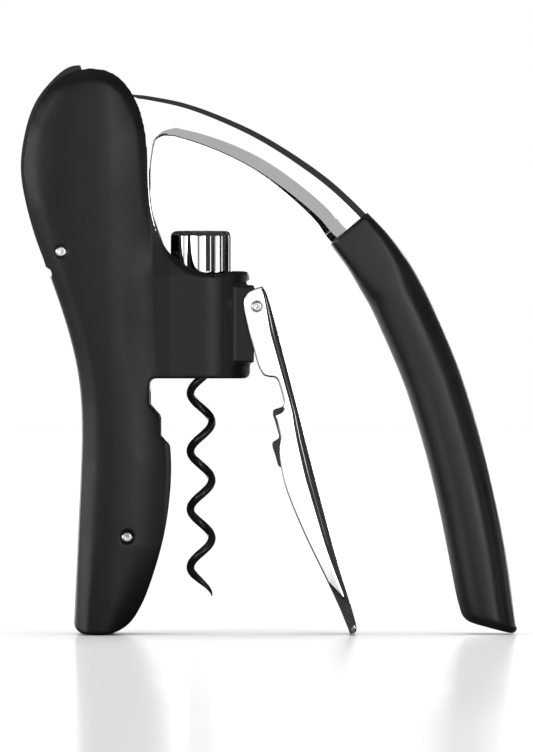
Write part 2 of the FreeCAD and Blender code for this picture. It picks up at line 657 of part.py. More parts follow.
# ---------------------------------------------------------------- all sub-parts
def main():
    os.makedirs("parts", exist_ok=True)
    save("body_casting", body_casting())
    save("body_jaw_liner", body_jaw_liner())
    save("bottle_seat_ring", bottle_seat_ring())
    save("worm_nut", worm_nut())
    save("nut_retainer", nut_retainer())
    save("rear_link_pin", plain_pin(LINK_PIVOT, HOUSING_HALF))
    save("liner_pin", plain_pin(LINER_PIN, HOUSING_HALF))
    save("rear_link", rear_link())
    save("clamp_handle", clamp_handle())
    save("clamp_jaw_liner", clamp_jaw_liner())
    save("clamp_hinge_pin", plain_pin(CLAMP_PIVOT, CLAMP_HALF + 0.2))
    save("clamp_stop_pin", clamp_stop_pin())
    save("clamp_rivet", clamp_rivet())
    save("clamp_washers", clamp_washers())
    save("clamp_spring", clamp_spring())
    save("lever_arm", lever_arm())
    save("lever_grip", lever_grip())
    save("grip_rivets", grip_rivets())
    save("lever_head_pin", cross_pin(head_pin_at(0), HEAD_PIN_R, LINK_HALF - 0.1))
    save("head_rollers", head_rollers())
    save("carriage_block", carriage_block())
    save("carriage_pivot_screws", carriage_pivot_screws())
    save("thrust_washer", thrust_washer())
    save("knob_post", knob_post())
    save("release_knob", release_knob())
    save("knob_screw", knob_screw())
    save("worm", worm())
    save("worm_ring", worm_ring())


main()
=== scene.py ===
"""Looks of the lever corkscrew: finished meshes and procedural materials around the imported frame."""
import math

import bmesh
import bpy
import numpy as np
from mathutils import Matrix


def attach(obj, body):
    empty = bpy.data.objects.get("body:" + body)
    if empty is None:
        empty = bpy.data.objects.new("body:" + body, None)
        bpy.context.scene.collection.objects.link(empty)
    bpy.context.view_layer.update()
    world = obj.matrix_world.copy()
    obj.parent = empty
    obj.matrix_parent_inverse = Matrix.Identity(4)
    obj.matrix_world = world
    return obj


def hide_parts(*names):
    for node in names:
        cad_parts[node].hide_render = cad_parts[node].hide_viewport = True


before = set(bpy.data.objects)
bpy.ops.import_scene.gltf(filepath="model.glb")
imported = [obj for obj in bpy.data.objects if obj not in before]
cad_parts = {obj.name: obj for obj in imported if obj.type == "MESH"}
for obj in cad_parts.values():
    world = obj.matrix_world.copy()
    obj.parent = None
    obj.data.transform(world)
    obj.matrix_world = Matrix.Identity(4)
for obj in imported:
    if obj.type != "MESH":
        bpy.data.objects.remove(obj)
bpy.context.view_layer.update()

MM = 0.001                       # shapes below are written in millimetres of the row frame
WORM_X = -19.2                   # axis of the worm and knob
THROUGH = 20.0                   # half length of a tool that cuts right through
LIP_SLOPE = 1.7                  # depth of a steep edge facet for its width
PIN_R = 1.5

HOUSING_HALF = 15.0              # half width of the housing at its thickest
SPINE = np.array([(-49.5, -2.0, 8.0), (-46.5, 10.0, 11.0), (-42.5, 26.0, 13.0), (-41.0, 48.0, 12.5),
                  (-42.5, 66.0, 12.5), (-46.0, 82.0, 14.0), (-49.5, 100.0, 17.0), (-51.5, 120.0, 18.5),
                  (-51.5, 138.0, 18.0), (-51.0, 150.0, 15.0)])    # middle and half width of the housing
CROWN = 2.6                      # how far the housing's side faces fall away at their rim
CROWN_POWER = 2.4                # a higher power keeps the middle flatter
COLLAR_CROWN = 0.35              # share of the crown over the collar, which is nearly flat
SIDE_LAYER = 2.7                 # depth of the layer that the doming moves
COLLAR_X = -40.0                 # where the collar starts, and the heights between which it stands
COLLAR_LOW, COLLAR_HIGH = 66.0, 112.0
REAR_LINK_PIN = (-58.1, 106.9)
LINER_PIN = (-39.7, 27.3)

LEVER_HALF = 10.0                # half width of the lever
FORK_PIVOT = (WORM_X, 96.5)
FORK_PIVOT_R = 2.05
FORK_GAP_R = 20.5                # round space between the fork's two cheeks
FORK_GAP_HALF = 8.0
ARM_CHAMFER = (5.8, 2.8)         # width of the chamfer and lip under the arm, at the grip and at the head
THIN_LIP, BROAD_LIP = 0.25, 2.0  # width of the lip alone, at the head and at the grip
GRIP_CORNER = 2.6                # rounding of the grip's end
GRIP_COUNT = 56                  # points round the grip

CLAMP_HALF = 13.0
CLAMP_INNER = 11.0
CLAMP_HINGE = (-3.6, 91.6)
CLAMP_HINGE_R = 1.72
CLAMP_SWING = 15.3               # degrees from open to closed

KNOB_R = 9.0
KNOB_LOBES = 6
KNOB_COUNT = 180                 # points round the knob
WORM_PITCH = 16.24
WORM_HELIX_R = 3.0               # radius of the wire's middle
WORM_WIRE_R = 1.13
WORM_TIP_Z, WORM_TOP_Z = 10.7, 86.0
WORM_LEFT_Z = 18.7               # a height where the wire is furthest to the left

LAMPS = ((-0.18, 0.42, 0.08, 1.2), (0.20, 0.42, 0.10, 5.5), (-1.45, -0.50, 0.26, 6.0),
         (1.02, 1.08, 0.03, 2.6))    # reflected screens: start, end, softness in radians, and level
LAMP_HEIGHTS = (-0.75, 0.20, 0.06)   # sine of the screens' lowest and highest elevation, and softness
DARKNESS = 0.045                 # level between the screens
OVERHEAD = 3.9                   # strength of the overhead light
OVERHEAD_SPREAD = 70.0           # degrees
SENSOR = 36.0                    # camera sensor, in millimetres
VIEW_HEIGHT = 0.2106             # what the picture's height spans at the object, in metres
EYE = (-0.0009, -2.5, 0.0722)    # place of the camera, in metres


# ---------------------------------------------------------------- mesh helpers
def smooth_path(points, per_span=8):
    """Points along a smooth curve through the given side-view points."""
    p = np.array(points, float)
    out = []
    for i in range(len(p) - 1):
        a, b = p[i], p[i + 1]
        before = p[i - 1] if i > 0 else 2 * a - b
        after = p[i + 2] if i + 2 < len(p) else 2 * b - a
        for t in np.arange(per_span) / per_span:
            out.append(0.5 * (2 * a + (b - before) * t + (2 * before - 5 * a + 4 * b - after) * t ** 2
                              + (3 * a - before - 3 * b + after) * t ** 3))
    out.append(p[-1])
    return np.array(out)


def add_mesh(name, verts, faces, sharp=35.0):
    """A new object from points in millimetres, smooth shaded except at edges over the sharp angle."""
    mesh = bpy.data.meshes.new(name)
    mesh.from_pydata([tuple(v) for v in np.array(verts) * MM], [], faces)
    tidy_normals(mesh)
    mesh.shade_smooth()
    mesh.set_sharp_from_angle(angle=math.radians(sharp))
    piece = bpy.data.objects.new(name, mesh)
    bpy.context.scene.collection.objects.link(piece)
    return piece


def tidy_normals(mesh):
    """Merges doubled points and turns every face outwards."""
    bm = bmesh.new()
    bm.from_mesh(mesh)
    bmesh.ops.remove_doubles(bm, verts=bm.verts, dist=1e-6)
    bmesh.ops.recalc_face_normals(bm, faces=bm.faces)
    bm.to_mesh(mesh)
    bm.free()


def loft(name, loops, sharp=35.0, capped=True):
    """A skin through equal loops of points. Its ends are capped, unless the last loop meets the first."""
    n = len(loops[0])
    faces = []
    for k in range(len(loops) - 1):
        for i in range(n):
            j = (i + 1) % n
            faces.append((k * n + i, k * n + j, (k + 1) * n + j, (k + 1) * n + i))
    if capped:
        last = (len(loops) - 1) * n
        faces += [tuple(range(n)), tuple(range(last, last + n))]
    return add_mesh(name, np.concatenate(loops), faces, sharp)


def outward(outline):
    """Unit normals of a closed outline, pointing out of it."""
    step = np.roll(outline, -1, 0) - np.roll(outline, 1, 0)
    normal = np.stack([step[:, 1], -step[:, 0]], 1)
    normal /= np.linalg.norm(normal, axis=1)[:, None] + 1e-12
    area = np.sum(outline[:, 0] * np.roll(outline[:, 1], -1) - np.roll(outline[:, 0], -1) * outline[:, 1])
    return normal if area > 0 else -normal


def plate(name, outline, half, inset, drop, steps=5, sharp=35.0, flat=0.0, lip=0.0):
    """A slab of the outline between y = -half and half, with rounded edges. Inset and drop are the
    rounding's size in the side face and across it, flat turns the rounding into a chamfer as it goes
    from 0 to 1, and lip is the width of a steep facet outside it: each is one number, or one for each
    outline point."""
    outline = np.array(outline, float)
    normal = outward(outline)
    inset = np.broadcast_to(inset, len(outline))[:, None]
    drop = np.broadcast_to(drop, len(outline))
    flat = np.broadcast_to(flat, len(outline))
    lip = np.broadcast_to(lip, len(outline))
    loops = []
    for k in range(steps + 1):
        share = k / steps
        spread = math.sin(share * math.pi / 2) * (1 - flat) + share * flat
        fall = (1 - math.cos(share * math.pi / 2)) * (1 - flat) + share * flat
        edge = outline - normal * (lip[:, None] + inset * (1 - spread)[:, None])
        loops.append(np.stack([edge[:, 0], -(half - drop * fall), edge[:, 1]], 1))
    if lip.any():
        loops.append(np.stack([outline[:, 0], -(half - drop - LIP_SLOPE * lip), outline[:, 1]], 1))
    loops += [loop * (1, -1, 1) for loop in reversed(loops)]
    return loft(name, loops, sharp)


def cutter(name, outline, half):
    """A plain slab to cut with."""
    outline = np.array(outline, float)
    loops = [np.stack([outline[:, 0], np.full(len(outline), y), outline[:, 1]], 1) for y in (-half, half)]
    return loft(name, loops)


def round_angles(count):
    """Angles of equal steps round a circle."""
    return np.arange(count) * 2 * math.pi / count


def circle(centre, radius, count):
    """Side-view points round a circle."""
    turn = round_angles(count)
    return np.stack([centre[0] + radius * np.cos(turn), centre[1] + radius * np.sin(turn)], 1)


def apply_modifiers(piece, sharp=None):
    """Bakes the piece's modifiers into its mesh."""
    graph = bpy.context.evaluated_depsgraph_get()
    mesh = bpy.data.meshes.new_from_object(piece.evaluated_get(graph))
    piece.modifiers.clear()
    piece.data = mesh
    if sharp:
        mesh.shade_smooth()
        mesh.set_sharp_from_angle(angle=math.radians(sharp))


def cut(piece, tools, sharp=35.0):
    """Cuts the tools out of the piece and removes them, and keeps the shading of its flat faces flat."""
    for tool in tools:
        change = piece.modifiers.new("cut", "BOOLEAN")
        change.object = tool
        change.solver = "EXACT"
    apply_modifiers(piece, sharp)
    flatten = piece.modifiers.new("flatten", "WEIGHTED_NORMAL")
    flatten.keep_sharp = True
    flatten.weight = 100
    apply_modifiers(piece)
    for tool in tools:
        bpy.data.objects.remove(tool)


def turned(name, profile, centre, axis, count):
    """A turned piece about an axis along y or z: profile holds (radius, distance along the axis) from one
    end to the other."""
    turn = round_angles(count)
    loops = []
    for radius, along in profile:
        x = centre[0] + radius * np.cos(turn)
        other = centre[1] + radius * np.sin(turn)
        level = np.full(count, along)
        loops.append(np.stack([x, other, level] if axis == "z" else [x, level, other], 1))
    return loft(name, loops)


# ---------------------------------------------------------------- materials
class Nodes:
    """A short way to build one material's nodes."""

    def __init__(self, name, colour, rough, metal=0.0):
        self.material = bpy.data.materials.new(name)
        self.material.use_nodes = True
        self.tree = self.material.node_tree
        self.shader = self.tree.nodes["Principled BSDF"]
        self.shader.inputs["Base Color"].default_value = (*colour, 1)
        self.shader.inputs["Roughness"].default_value = rough
        self.shader.inputs["Metallic"].default_value = metal
        self.place = self.add("ShaderNodeTexCoord").outputs["Object"]

    def add(self, kind, **values):
        """A node, with its properties or its sockets set."""
        node = self.tree.nodes.new(kind)
        for key, value in values.items():
            if hasattr(node, key):
                setattr(node, key, value)
            else:
                node.inputs[key].default_value = value
        return node

    def link(self, a, b):
        self.tree.links.new(a, b)

    def noise(self, scale, detail=3.0, rough=0.5, place=None):
        """Noise with features of about 1 / scale metres."""
        node = self.add("ShaderNodeTexNoise", Scale=scale, Detail=detail, Roughness=rough)
        self.link(place or self.place, node.inputs["Vector"])
        return node.outputs["Fac"]

    def ramp(self, value, low, high, start=0.0, end=1.0):
        """Value between start and end, turned into low to high."""
        node = self.add("ShaderNodeMapRange")
        node.inputs["From Min"].default_value = start
        node.inputs["From Max"].default_value = end
        node.inputs["To Min"].default_value = low
        node.inputs["To Max"].default_value = high
        self.link(value, node.inputs["Value"])
        return node.outputs["Result"]

    def blend(self, factor, colour_a, colour_b):
        """A colour between two, or between an earlier colour and another."""
        node = self.add("ShaderNodeMix", data_type="RGBA")
        self.link(factor, node.inputs["Factor"])
        for socket, colour in ((6, colour_a), (7, colour_b)):
            if isinstance(colour, tuple):
                node.inputs[socket].default_value = (*colour, 1)
            else:
                self.link(colour, node.inputs[socket])
        return node.outputs[2]

    def stretched(self, scale):
        """Object coordinates scaled along each axis."""
        node = self.add("ShaderNodeMapping")
        node.inputs["Scale"].default_value = scale
        self.link(self.place, node.inputs["Vector"])
        return node.outputs["Vector"]

    def bump(self, height, strength, distance, after=None):
        """A normal from a height, laid over an earlier normal if there is one."""
        node = self.add("ShaderNodeBump", Strength=strength, Distance=distance)
        self.link(height, node.inputs["Height"])
        if after:
            self.link(after, node.inputs["Normal"])
        return node.outputs["Normal"]

    def finish(self, colour, rough, normal):
        """Links the three to the shader and returns the material."""
        for name, value in (("Base Color", colour), ("Roughness", rough), ("Normal", normal)):
            self.link(value, self.shader.inputs[name])
        return self.material


def soft_black(name, base, worn, rough, gloss, grain=0.5):
    """Soft-touch black: a fine stipple, faint handling marks and a slight waviness."""
    n = Nodes(name, base, rough)
    n.shader.inputs["Specular IOR Level"].default_value = gloss
    n.shader.inputs["Sheen Weight"].default_value = 0.03
    n.shader.inputs["Sheen Roughness"].default_value = 0.45
    smudge = n.noise(35, 4, 0.6)
    stipple = n.noise(5200, 2, 0.5)
    colour = n.blend(n.ramp(smudge, 0, 1, 0.35, 0.7), base, worn)
    colour = n.blend(n.ramp(stipple, 0.0, 0.35, 0.35, 0.75), colour, worn)
    roughness = n.ramp(smudge, rough - 0.05, rough + 0.06, 0.3, 0.7)
    normal = n.bump(stipple, grain, 0.00002)
    normal = n.bump(n.noise(260, 2), 0.12, 0.00005, normal)
    return n.finish(colour, roughness, normal)


def chrome(name, base=(0.86, 0.86, 0.87), rough=0.05):
    """Chrome plate: slightly uneven polish, faint wiping marks and a slight waviness."""
    n = Nodes(name, base, rough, 1.0)
    cloud = n.noise(60, 4, 0.6)
    wipe = n.noise(900, 3, 0.5, n.stretched((1.0, 1.0, 0.08)))
    colour = n.blend(n.ramp(cloud, 0, 1, 0.3, 0.75), base, tuple(c * 0.93 for c in base))
    roughness = n.add("ShaderNodeMath", operation="ADD")
    n.link(n.ramp(cloud, rough * 0.7, rough * 1.6, 0.3, 0.7), roughness.inputs[0])
    n.link(n.ramp(wipe, 0.0, 0.05, 0.45, 0.8), roughness.inputs[1])
    normal = n.bump(n.noise(140, 2), 0.02, 0.0001)
    return n.finish(colour, roughness.outputs[0], normal)


def turned_steel(name, base=(0.72, 0.72, 0.73), rough=0.22):
    """Turned bright steel with fine lathe lines and dull spots."""
    n = Nodes(name, base, rough, 1.0)
    lines = n.noise(7000, 2, 0.6, n.stretched((1.0, 0.05, 1.0)))
    spots = n.noise(420, 4, 0.6)
    colour = n.blend(n.ramp(spots, 0, 1, 0.45, 0.7), base, tuple(c * 0.7 for c in base))
    roughness = n.ramp(spots, rough * 0.8, rough * 1.6, 0.3, 0.75)
    return n.finish(colour, roughness, n.bump(lines, 0.15, 0.00001))


def coated_wire(name):
    """Black non-stick coating with a light orange peel, rubbed grey in patches."""
    n = Nodes(name, (0.012, 0.012, 0.013), 0.32)
    n.shader.inputs["Coat Weight"].default_value = 0.35
    n.shader.inputs["Coat Roughness"].default_value = 0.22
    rub = n.noise(300, 5, 0.65)
    colour = n.blend(n.ramp(rub, 0, 0.6, 0.56, 0.74), (0.010, 0.010, 0.011), (0.05, 0.05, 0.052))
    roughness = n.ramp(rub, 0.26, 0.42, 0.35, 0.7)
    return n.finish(colour, roughness, n.bump(n.noise(2600, 2), 0.25, 0.00003))


def rubber(name, base, rough=0.38):
    """Smooth dark rubber with a fine moulded texture and a dusty bloom."""
    n = Nodes(name, base, rough)
    bloom = n.noise(180, 4, 0.6)
    colour = n.blend(n.ramp(bloom, 0, 1, 0.4, 0.75), base, tuple(c * 1.9 for c in base))
    roughness = n.ramp(bloom, rough - 0.06, rough + 0.14, 0.3, 0.7)
    return n.finish(colour, roughness, n.bump(n.noise(3000, 2), 0.3, 0.00002))


def resin(name):
    """Dark grey acetal with faint flow marks."""
    n = Nodes(name, (0.06, 0.06, 0.065), 0.3)
    flow = n.noise(220, 3, 0.6, n.stretched((1.0, 1.0, 0.3)))
    colour = n.blend(n.ramp(flow, 0, 1, 0.35, 0.7), (0.05, 0.05, 0.055), (0.085, 0.085, 0.09))
    return n.finish(colour, n.ramp(flow, 0.24, 0.4, 0.3, 0.7), n.bump(n.noise(1500, 2), 0.2, 0.00002))


def use(piece, material):
    """Gives the whole piece one material."""
    piece.data.materials.clear()
    piece.data.materials.append(material)
    for face in piece.data.polygons:
        face.material_index = 0


def finish_piece(piece, materials, finish, body, node=None):
    """Gives the piece its finish and its body, and takes the place of the CAD node named."""
    use(piece, materials[finish])
    if node:
        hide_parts(node)
    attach(piece, body)


# ---------------------------------------------------------------- pieces
def remeshed(node_name, name, voxel, rounds):
    """A copy of a CAD node with its hard edges softened, as a moulding's are."""
    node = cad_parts[node_name]
    piece = bpy.data.objects.new(name, node.data.copy())
    bpy.context.scene.collection.objects.link(piece)
    tidy_normals(piece.data)
    grid = piece.modifiers.new("grid", "REMESH")
    grid.mode = "VOXEL"
    grid.voxel_size = voxel * MM
    apply_modifiers(piece)
    soften = piece.modifiers.new("soften", "SMOOTH")
    soften.factor = 0.5
    soften.iterations = rounds
    apply_modifiers(piece)
    piece.data.shade_smooth()
    return piece


def ramp_up(value, start, run):
    """0 below start, growing to 1 over the run."""
    return np.clip((value - start) / run, 0, 1)


def crown(x, z):
    """How far a side face of the housing lies in from its middle's plane, in millimetres."""
    points = np.stack([np.ravel(x), np.ravel(z)], 1)
    to_rim = np.ones(len(points))
    for start, end in zip(SPINE, SPINE[1:]):
        run = end[:2] - start[:2]
        share = np.clip((points - start[:2]) @ run / (run @ run), 0, 1)[:, None]
        gap = np.linalg.norm(points - start[:2] - run * share, axis=1)
        to_rim = np.minimum(to_rim, gap / (start[2] + (end[2] - start[2]) * share[:, 0]))
    x, z = points.T
    collar = ramp_up(x, COLLAR_X, 12.0) * ramp_up(z, COLLAR_LOW, 6.0) * ramp_up(-z, -COLLAR_HIGH, 12.0)
    return CROWN * (to_rim ** CROWN_POWER * (1 - collar) + COLLAR_CROWN * collar)


def crown_sides(piece):
    """Domes the housing's outer side faces."""
    mesh = piece.data
    p = np.zeros(len(mesh.vertices) * 3)
    mesh.vertices.foreach_get("co", p)
    p = p.reshape(-1, 3) / MM
    outer = ramp_up(np.abs(p[:, 1]), HOUSING_HALF - SIDE_LAYER, SIDE_LAYER)
    p[:, 1] -= np.sign(p[:, 1]) * crown(p[:, 0], p[:, 2]) * outer
    mesh.vertices.foreach_set("co", (p * MM).ravel())
    mesh.update()


def make_housing(materials):
    """The one-piece housing, with softened edges and domed sides."""
    piece = remeshed("body_casting", "housing", 0.45, 6)
    crown_sides(piece)
    finish_piece(piece, materials, "soft_black", "frame", "body_casting")


def arm_outline():
    """Side view of the lever, from the fork round the head and out along the arm into the grip. Returns
    the points and the number of points in each stretch: rear, top, under, corner, front and eye."""
    rear = smooth_path([(-21.6, 94.4), (-28.6, 98.9), (-35.4, 105.6), (-41.6, 114.0), (-46.4, 123.4),
                        (-48.2, 131.0), (-47.2, 138.2), (-44.2, 145.2), (-38.8, 150.8)])
    top = smooth_path([(-38.8, 150.8), (-33.6, 150.3), (-23.6, 148.3), (-13.2, 144.6), (-2.8, 139.8),
                       (7.5, 133.6), (17.9, 126.0), (27.7, 116.6), (31.7, 110.8)])
    under = smooth_path([(23.3, 104.4), (16.9, 110.0), (12.7, 115.7), (5.4, 122.6), (-2.8, 128.9),
                         (-11.1, 133.5), (-19.4, 136.9), (-26.5, 139.1)])
    corner = smooth_path([(-26.5, 139.1), (-29.6, 139.2), (-31.6, 138.1), (-32.5, 135.8)], 5)
    front = smooth_path([(-32.5, 135.8), (-33.2, 130.0), (-33.1, 124.0), (-32.4, 118.0), (-31.0, 112.6),
                         (-28.2, 106.0), (-23.9, 101.0), (-19.2, 99.7)])
    eye = smooth_path([(-19.2, 99.7), (-16.94, 98.76), (-16.0, 96.5), (-16.94, 94.24), (-19.2, 93.3),
                       (-21.6, 94.4)], 5)
    parts = [rear[:-1], top, under[:-1], corner[:-1], front[:-1], eye[:-1]]
    return np.concatenate(parts), [len(part) for part in parts]


def arm_edges(counts):
    """Inset, drop, flatness and lip of the arm's edge at each outline point: rounded along its top, with
    a broad chamfer below and a steep facet outside it, which both widen to the grip."""
    ends = np.cumsum(counts)
    count = ends[-1]
    top = slice(ends[0], ends[1])
    under = slice(ends[1], ends[2])
    inset = np.full(count, 0.5)
    flat = np.zeros(count)
    lip = np.zeros(count)
    inset[top] = np.linspace(1.1, 2.6, counts[1])
    ease = 5                     # points over which the top's rounding grows
    inset[ends[0]:ends[0] + ease] = np.linspace(0.5, inset[ends[0] + ease], ease)
    drop = inset.copy()
    to_grip = ramp_up(np.linspace(1, 0, counts[2]), 0.38, 0.5)
    lip[under] = THIN_LIP + (BROAD_LIP - THIN_LIP) * to_grip ** 1.4
    lip[ends[2]:ends[4] - 8] = THIN_LIP                  # round the corner and most of the front
    inset[under] = np.linspace(*ARM_CHAMFER, counts[2]) - lip[under]
    drop[under] = np.linspace(1.6, 0.4, counts[2])
    flat[under] = 1.0
    hidden = 5                   # points on each side of the arm's end, inside the grip
    for values, least in ((inset, 0.4), (drop, 0.4), (flat, 0.0), (lip, 0.0)):
        values[ends[1] - hidden:ends[1]] = np.linspace(values[ends[1] - hidden], least, hidden)
        values[ends[1]:ends[1] + hidden] = np.linspace(least, values[ends[1] + hidden], hidden)
    fade = 9                     # points over which the chamfer dies out round the corner
    for values, first, last in ((inset, 2.5, 0.5), (drop, 0.4, 0.5), (flat, 1.0, 0.0)):
        values[ends[2]:ends[2] + fade] = np.linspace(first, last, fade)
    return inset, drop, flat, lip


def make_arm(materials):
    """The lever casting, with a fork at its head for the worm's carriage."""
    outline, counts = arm_outline()
    inset, drop, flat, lip = arm_edges(counts)
    piece = plate("lever_casting", outline, LEVER_HALF, inset, drop, 6, 20.0, flat, lip)
    fork_gap = cutter("fork_gap", circle(FORK_PIVOT, FORK_GAP_R, 72), FORK_GAP_HALF)
    pivot = cutter("pivot_hole", circle(FORK_PIVOT, FORK_PIVOT_R, 32), THROUGH)
    cut(piece, [fork_gap, pivot], 20.0)
    finish_piece(piece, materials, "chrome", "lever", "lever_arm")


def grip_spine():
    """Points along the grip's middle, with the directions along and across it at each."""
    centre = smooth_path([(22.15, 113.55), (27.3, 107.4), (31.2, 101.8), (36.2, 93.4), (43.7, 76.6),
                          (47.7, 65.4), (51.8, 51.4), (55.2, 37.4), (58.0, 23.4), (60.2, 10.0),
                          (61.3, 4.3)], 6)
    along = np.gradient(centre, axis=0)
    along /= np.linalg.norm(along, axis=1)[:, None]
    travel = np.concatenate([[0], np.cumsum(np.linalg.norm(np.diff(centre, axis=0), axis=1))])
    slant = np.array([0.966, -0.258])    # direction of the cut across the grip's end
    lean = ramp_up(travel / travel[-1], 0.72, 0.28)[:, None] ** 1.5
    across = np.stack([-along[:, 1], along[:, 0]], 1) * (1 - lean) + slant * lean
    across /= np.linalg.norm(across, axis=1)[:, None]
    return centre, along, across, travel


def grip_section(point, direction, half_thick, half_wide, power):
    """A rounded rectangle across the grip. A higher power makes squarer corners."""
    turn = round_angles(GRIP_COUNT)
    round_x = np.sign(np.cos(turn)) * np.abs(np.cos(turn)) ** (2 / power)
    round_y = np.sign(np.sin(turn)) * np.abs(np.sin(turn)) ** (2 / power)
    x = point[0] + direction[0] * half_thick * round_x
    z = point[1] + direction[1] * half_thick * round_x
    return np.stack([x, half_wide * round_y, z], 1)


def make_grip(materials):
    """The grip: one soft rounded bar, swollen from the arm's section to its own, cut aslant below."""
    centre, along, across, travel = grip_spine()
    thick = np.interp(travel, [0, 6, 18, 30, 200], [6.75, 7.2, 7.9, 8.08, 8.15])
    wide = np.interp(travel, [0, 6, 18, 200], [10.45, 10.7, 11.0, 11.0])
    power = np.interp(travel, [0, 3, 22, 200], [8.0, 7.0, 2.7, 2.7])
    loops = []
    for ahead, trim in ((0.0, 0.35), (0.1, 0.1), (0.35, 0.0)):
        point = centre[0] + along[0] * ahead
        loops.append(grip_section(point, across[0], thick[0] - trim, wide[0] - trim, power[0]))
    loops += [grip_section(*values) for values in zip(centre[1:], across[1:], thick[1:], wide[1:], power[1:])]
    for angle in np.linspace(0, math.pi / 2, 7)[1:]:
        point = centre[-1] + along[-1] * GRIP_CORNER * math.sin(angle)
        trim = GRIP_CORNER * (1 - math.cos(angle))
        loops.append(grip_section(point, across[-1], thick[-1] - trim, wide[-1] - trim, power[-1]))
    piece = loft("grip", loops, 50)
    finish_piece(piece, materials, "grip_black", "lever", "lever_grip")


def clamp_side():
    """Side view of the clamp handle's steel, and the rounding of its edge at each point."""
    front = smooth_path([(-1.9, 97.2), (-0.2, 93.4), (3.6, 79.4), (10.8, 51.4), (18.1, 23.4), (22.3, 9.4),
                         (24.2, 2.6)])
    tip = smooth_path([(24.2, 2.6), (24.0, 0.9), (22.4, 0.4)], 4)
    rear = smooth_path([(22.4, 0.4), (18.2, 10.4), (10.3, 26.8), (6.0, 36.8), (3.9, 43.0), (2.9, 48.5),
                        (2.8, 52.5)])
    notches = smooth_path([(2.8, 52.5), (3.1, 54.6), (2.3, 58.4), (1.8, 61.2), (3.2, 62.4), (4.0, 64.2),
                           (3.2, 68.0), (1.9, 71.4), (-0.2, 71.9), (-1.9, 72.6), (-3.3, 75.2)], 4)
    ear = smooth_path([(-3.3, 75.2), (-5.9, 85.0), (-7.2, 91.6), (-6.6, 95.0), (-4.6, 96.4), (-1.9, 97.2)])
    outline = np.concatenate([front, tip[1:], rear[1:], notches[1:], ear[1:-1]])
    inset = np.full(len(outline), 0.4)
    inset[:len(front)] = np.interp(front[:, 1], [2.6, 9.0, 25.0, 45.0, 56.0, 63.0, 72.0, 85.0, 97.2],
                                   [0.8, 1.3, 3.0, 3.9, 3.4, 2.4, 2.7, 3.0, 1.2])
    first = len(front) + len(tip) + len(rear) - 2
    bent = slice(first + 14, first + len(notches) + 4)    # the upper notch and the start of the ear
    inset[bent] = 0.55
    return outline, inset


def tip_scoop(side):
    """A wedge that dishes one side of the clamp handle's tip, deepest along its slanting top."""
    top = [(12.0, 19.6), (26.0, 5.1)]
    low = [(6.8, 14.4), (20.8, -0.1)]
    deep, shallow = CLAMP_HALF - 1.9, CLAMP_HALF + 0.1
    outer = CLAMP_HALF + 2.0
    corners = [(*top[0], deep), (*top[1], deep), (*low[1], shallow), (*low[0], shallow),
               (*top[0], outer), (*top[1], outer), (*low[1], outer), (*low[0], outer)]
    verts = [(x, side * y, z) for x, z, y in corners]
    faces = [(0, 1, 2, 3), (4, 7, 6, 5), (0, 4, 5, 1), (1, 5, 6, 2), (2, 6, 7, 3), (3, 7, 4, 0)]
    return add_mesh("scoop", verts, faces)


def make_clamp(materials):
    """The clamp handle: a pressed channel, open towards the bottle, with a rounded front."""
    outline, inset = clamp_side()
    drop = np.where(inset > 1.1, inset * 0.85, inset)    # the front's broad rounding is a little flat
    piece = plate("clamp_channel", outline, CLAMP_HALF, inset, drop, 6)
    inside = np.concatenate([
        smooth_path([(0.1, 84.0), (1.4, 79.0), (8.6, 51.0), (15.9, 23.0), (20.0, 9.0), (21.6, 3.4)]),
        [(-30.0, 3.4), (-30.0, 110.0), (10.0, 110.0), (10.0, 84.0)]])
    hollow = cutter("hollow", inside, CLAMP_INNER)
    hinge = cutter("hinge_hole", circle(CLAMP_HINGE, CLAMP_HINGE_R, 32), THROUGH)
    cut(piece, [hollow, hinge, tip_scoop(1), tip_scoop(-1)])
    finish_piece(piece, materials, "chrome", "clamp", "clamp_handle")


def make_clamp_lining(materials):
    """Rubber lining of the clamp handle: two rounded lips that stand proud of the steel's notches, with
    the bottle's neck cut out where it lies once the handle has closed."""
    lips = smooth_path([(3.3, 46.6), (2.3, 47.4), (1.5, 50.2), (0.7, 52.3), (0.9, 53.6), (2.0, 54.4),
                        (2.6, 55.2), (2.2, 57.0), (1.4, 59.8), (0.9, 61.4), (1.1, 62.6), (2.4, 63.2),
                        (3.5, 63.6), (4.0, 64.6)], 4)
    back = [(5.0, 67.0), (6.4, 57.0), (8.2, 50.0), (11.0, 39.0), (16.0, 20.0), (17.0, 15.2),
            (10.9, 27.4), (7.1, 36.0), (5.2, 41.4)]
    outline = np.concatenate([lips, back])
    piece = plate("clamp_lining", outline, CLAMP_INNER - 0.02, 0.35, 0.35, 4)
    neck = [(0.1, -20.0), (14.4, -20.0), (14.4, 54.0), (15.9, 54.3), (15.9, 62.6), (17.9, 62.9),
            (17.9, 75.0), (0.1, 75.0)]
    throat = turned("throat", neck, (WORM_X, 0), "z", 96)
    swing_about(throat, CLAMP_HINGE, CLAMP_SWING)
    cut(piece, [throat], 30.0)
    finish_piece(piece, materials, "jaw_rubber", "clamp", "clamp_jaw_liner")


def swing_about(piece, centre, degrees):
    """Turns the piece's mesh about Y through centre, counter-clockwise as seen from -Y."""
    angle = math.radians(degrees)
    for vert in piece.data.vertices:
        x = vert.co.x - centre[0] * MM
        z = vert.co.z - centre[1] * MM
        vert.co.x = centre[0] * MM + x * math.cos(angle) - z * math.sin(angle)
        vert.co.z = centre[1] * MM + x * math.sin(angle) + z * math.cos(angle)


def knob_scale(turn):
    """The knob's radius as a share of its widest, at each angle round it: bulged lobes with narrow
    grooves between."""
    step = 2 * math.pi / KNOB_LOBES
    phase = np.abs(((turn + math.pi / 2) / step + 0.5) % 1 - 0.5) * 2
    return 1 - 0.09 * phase ** 2 - 0.035 * ramp_up(phase, 0.7, 0.3) ** 1.6


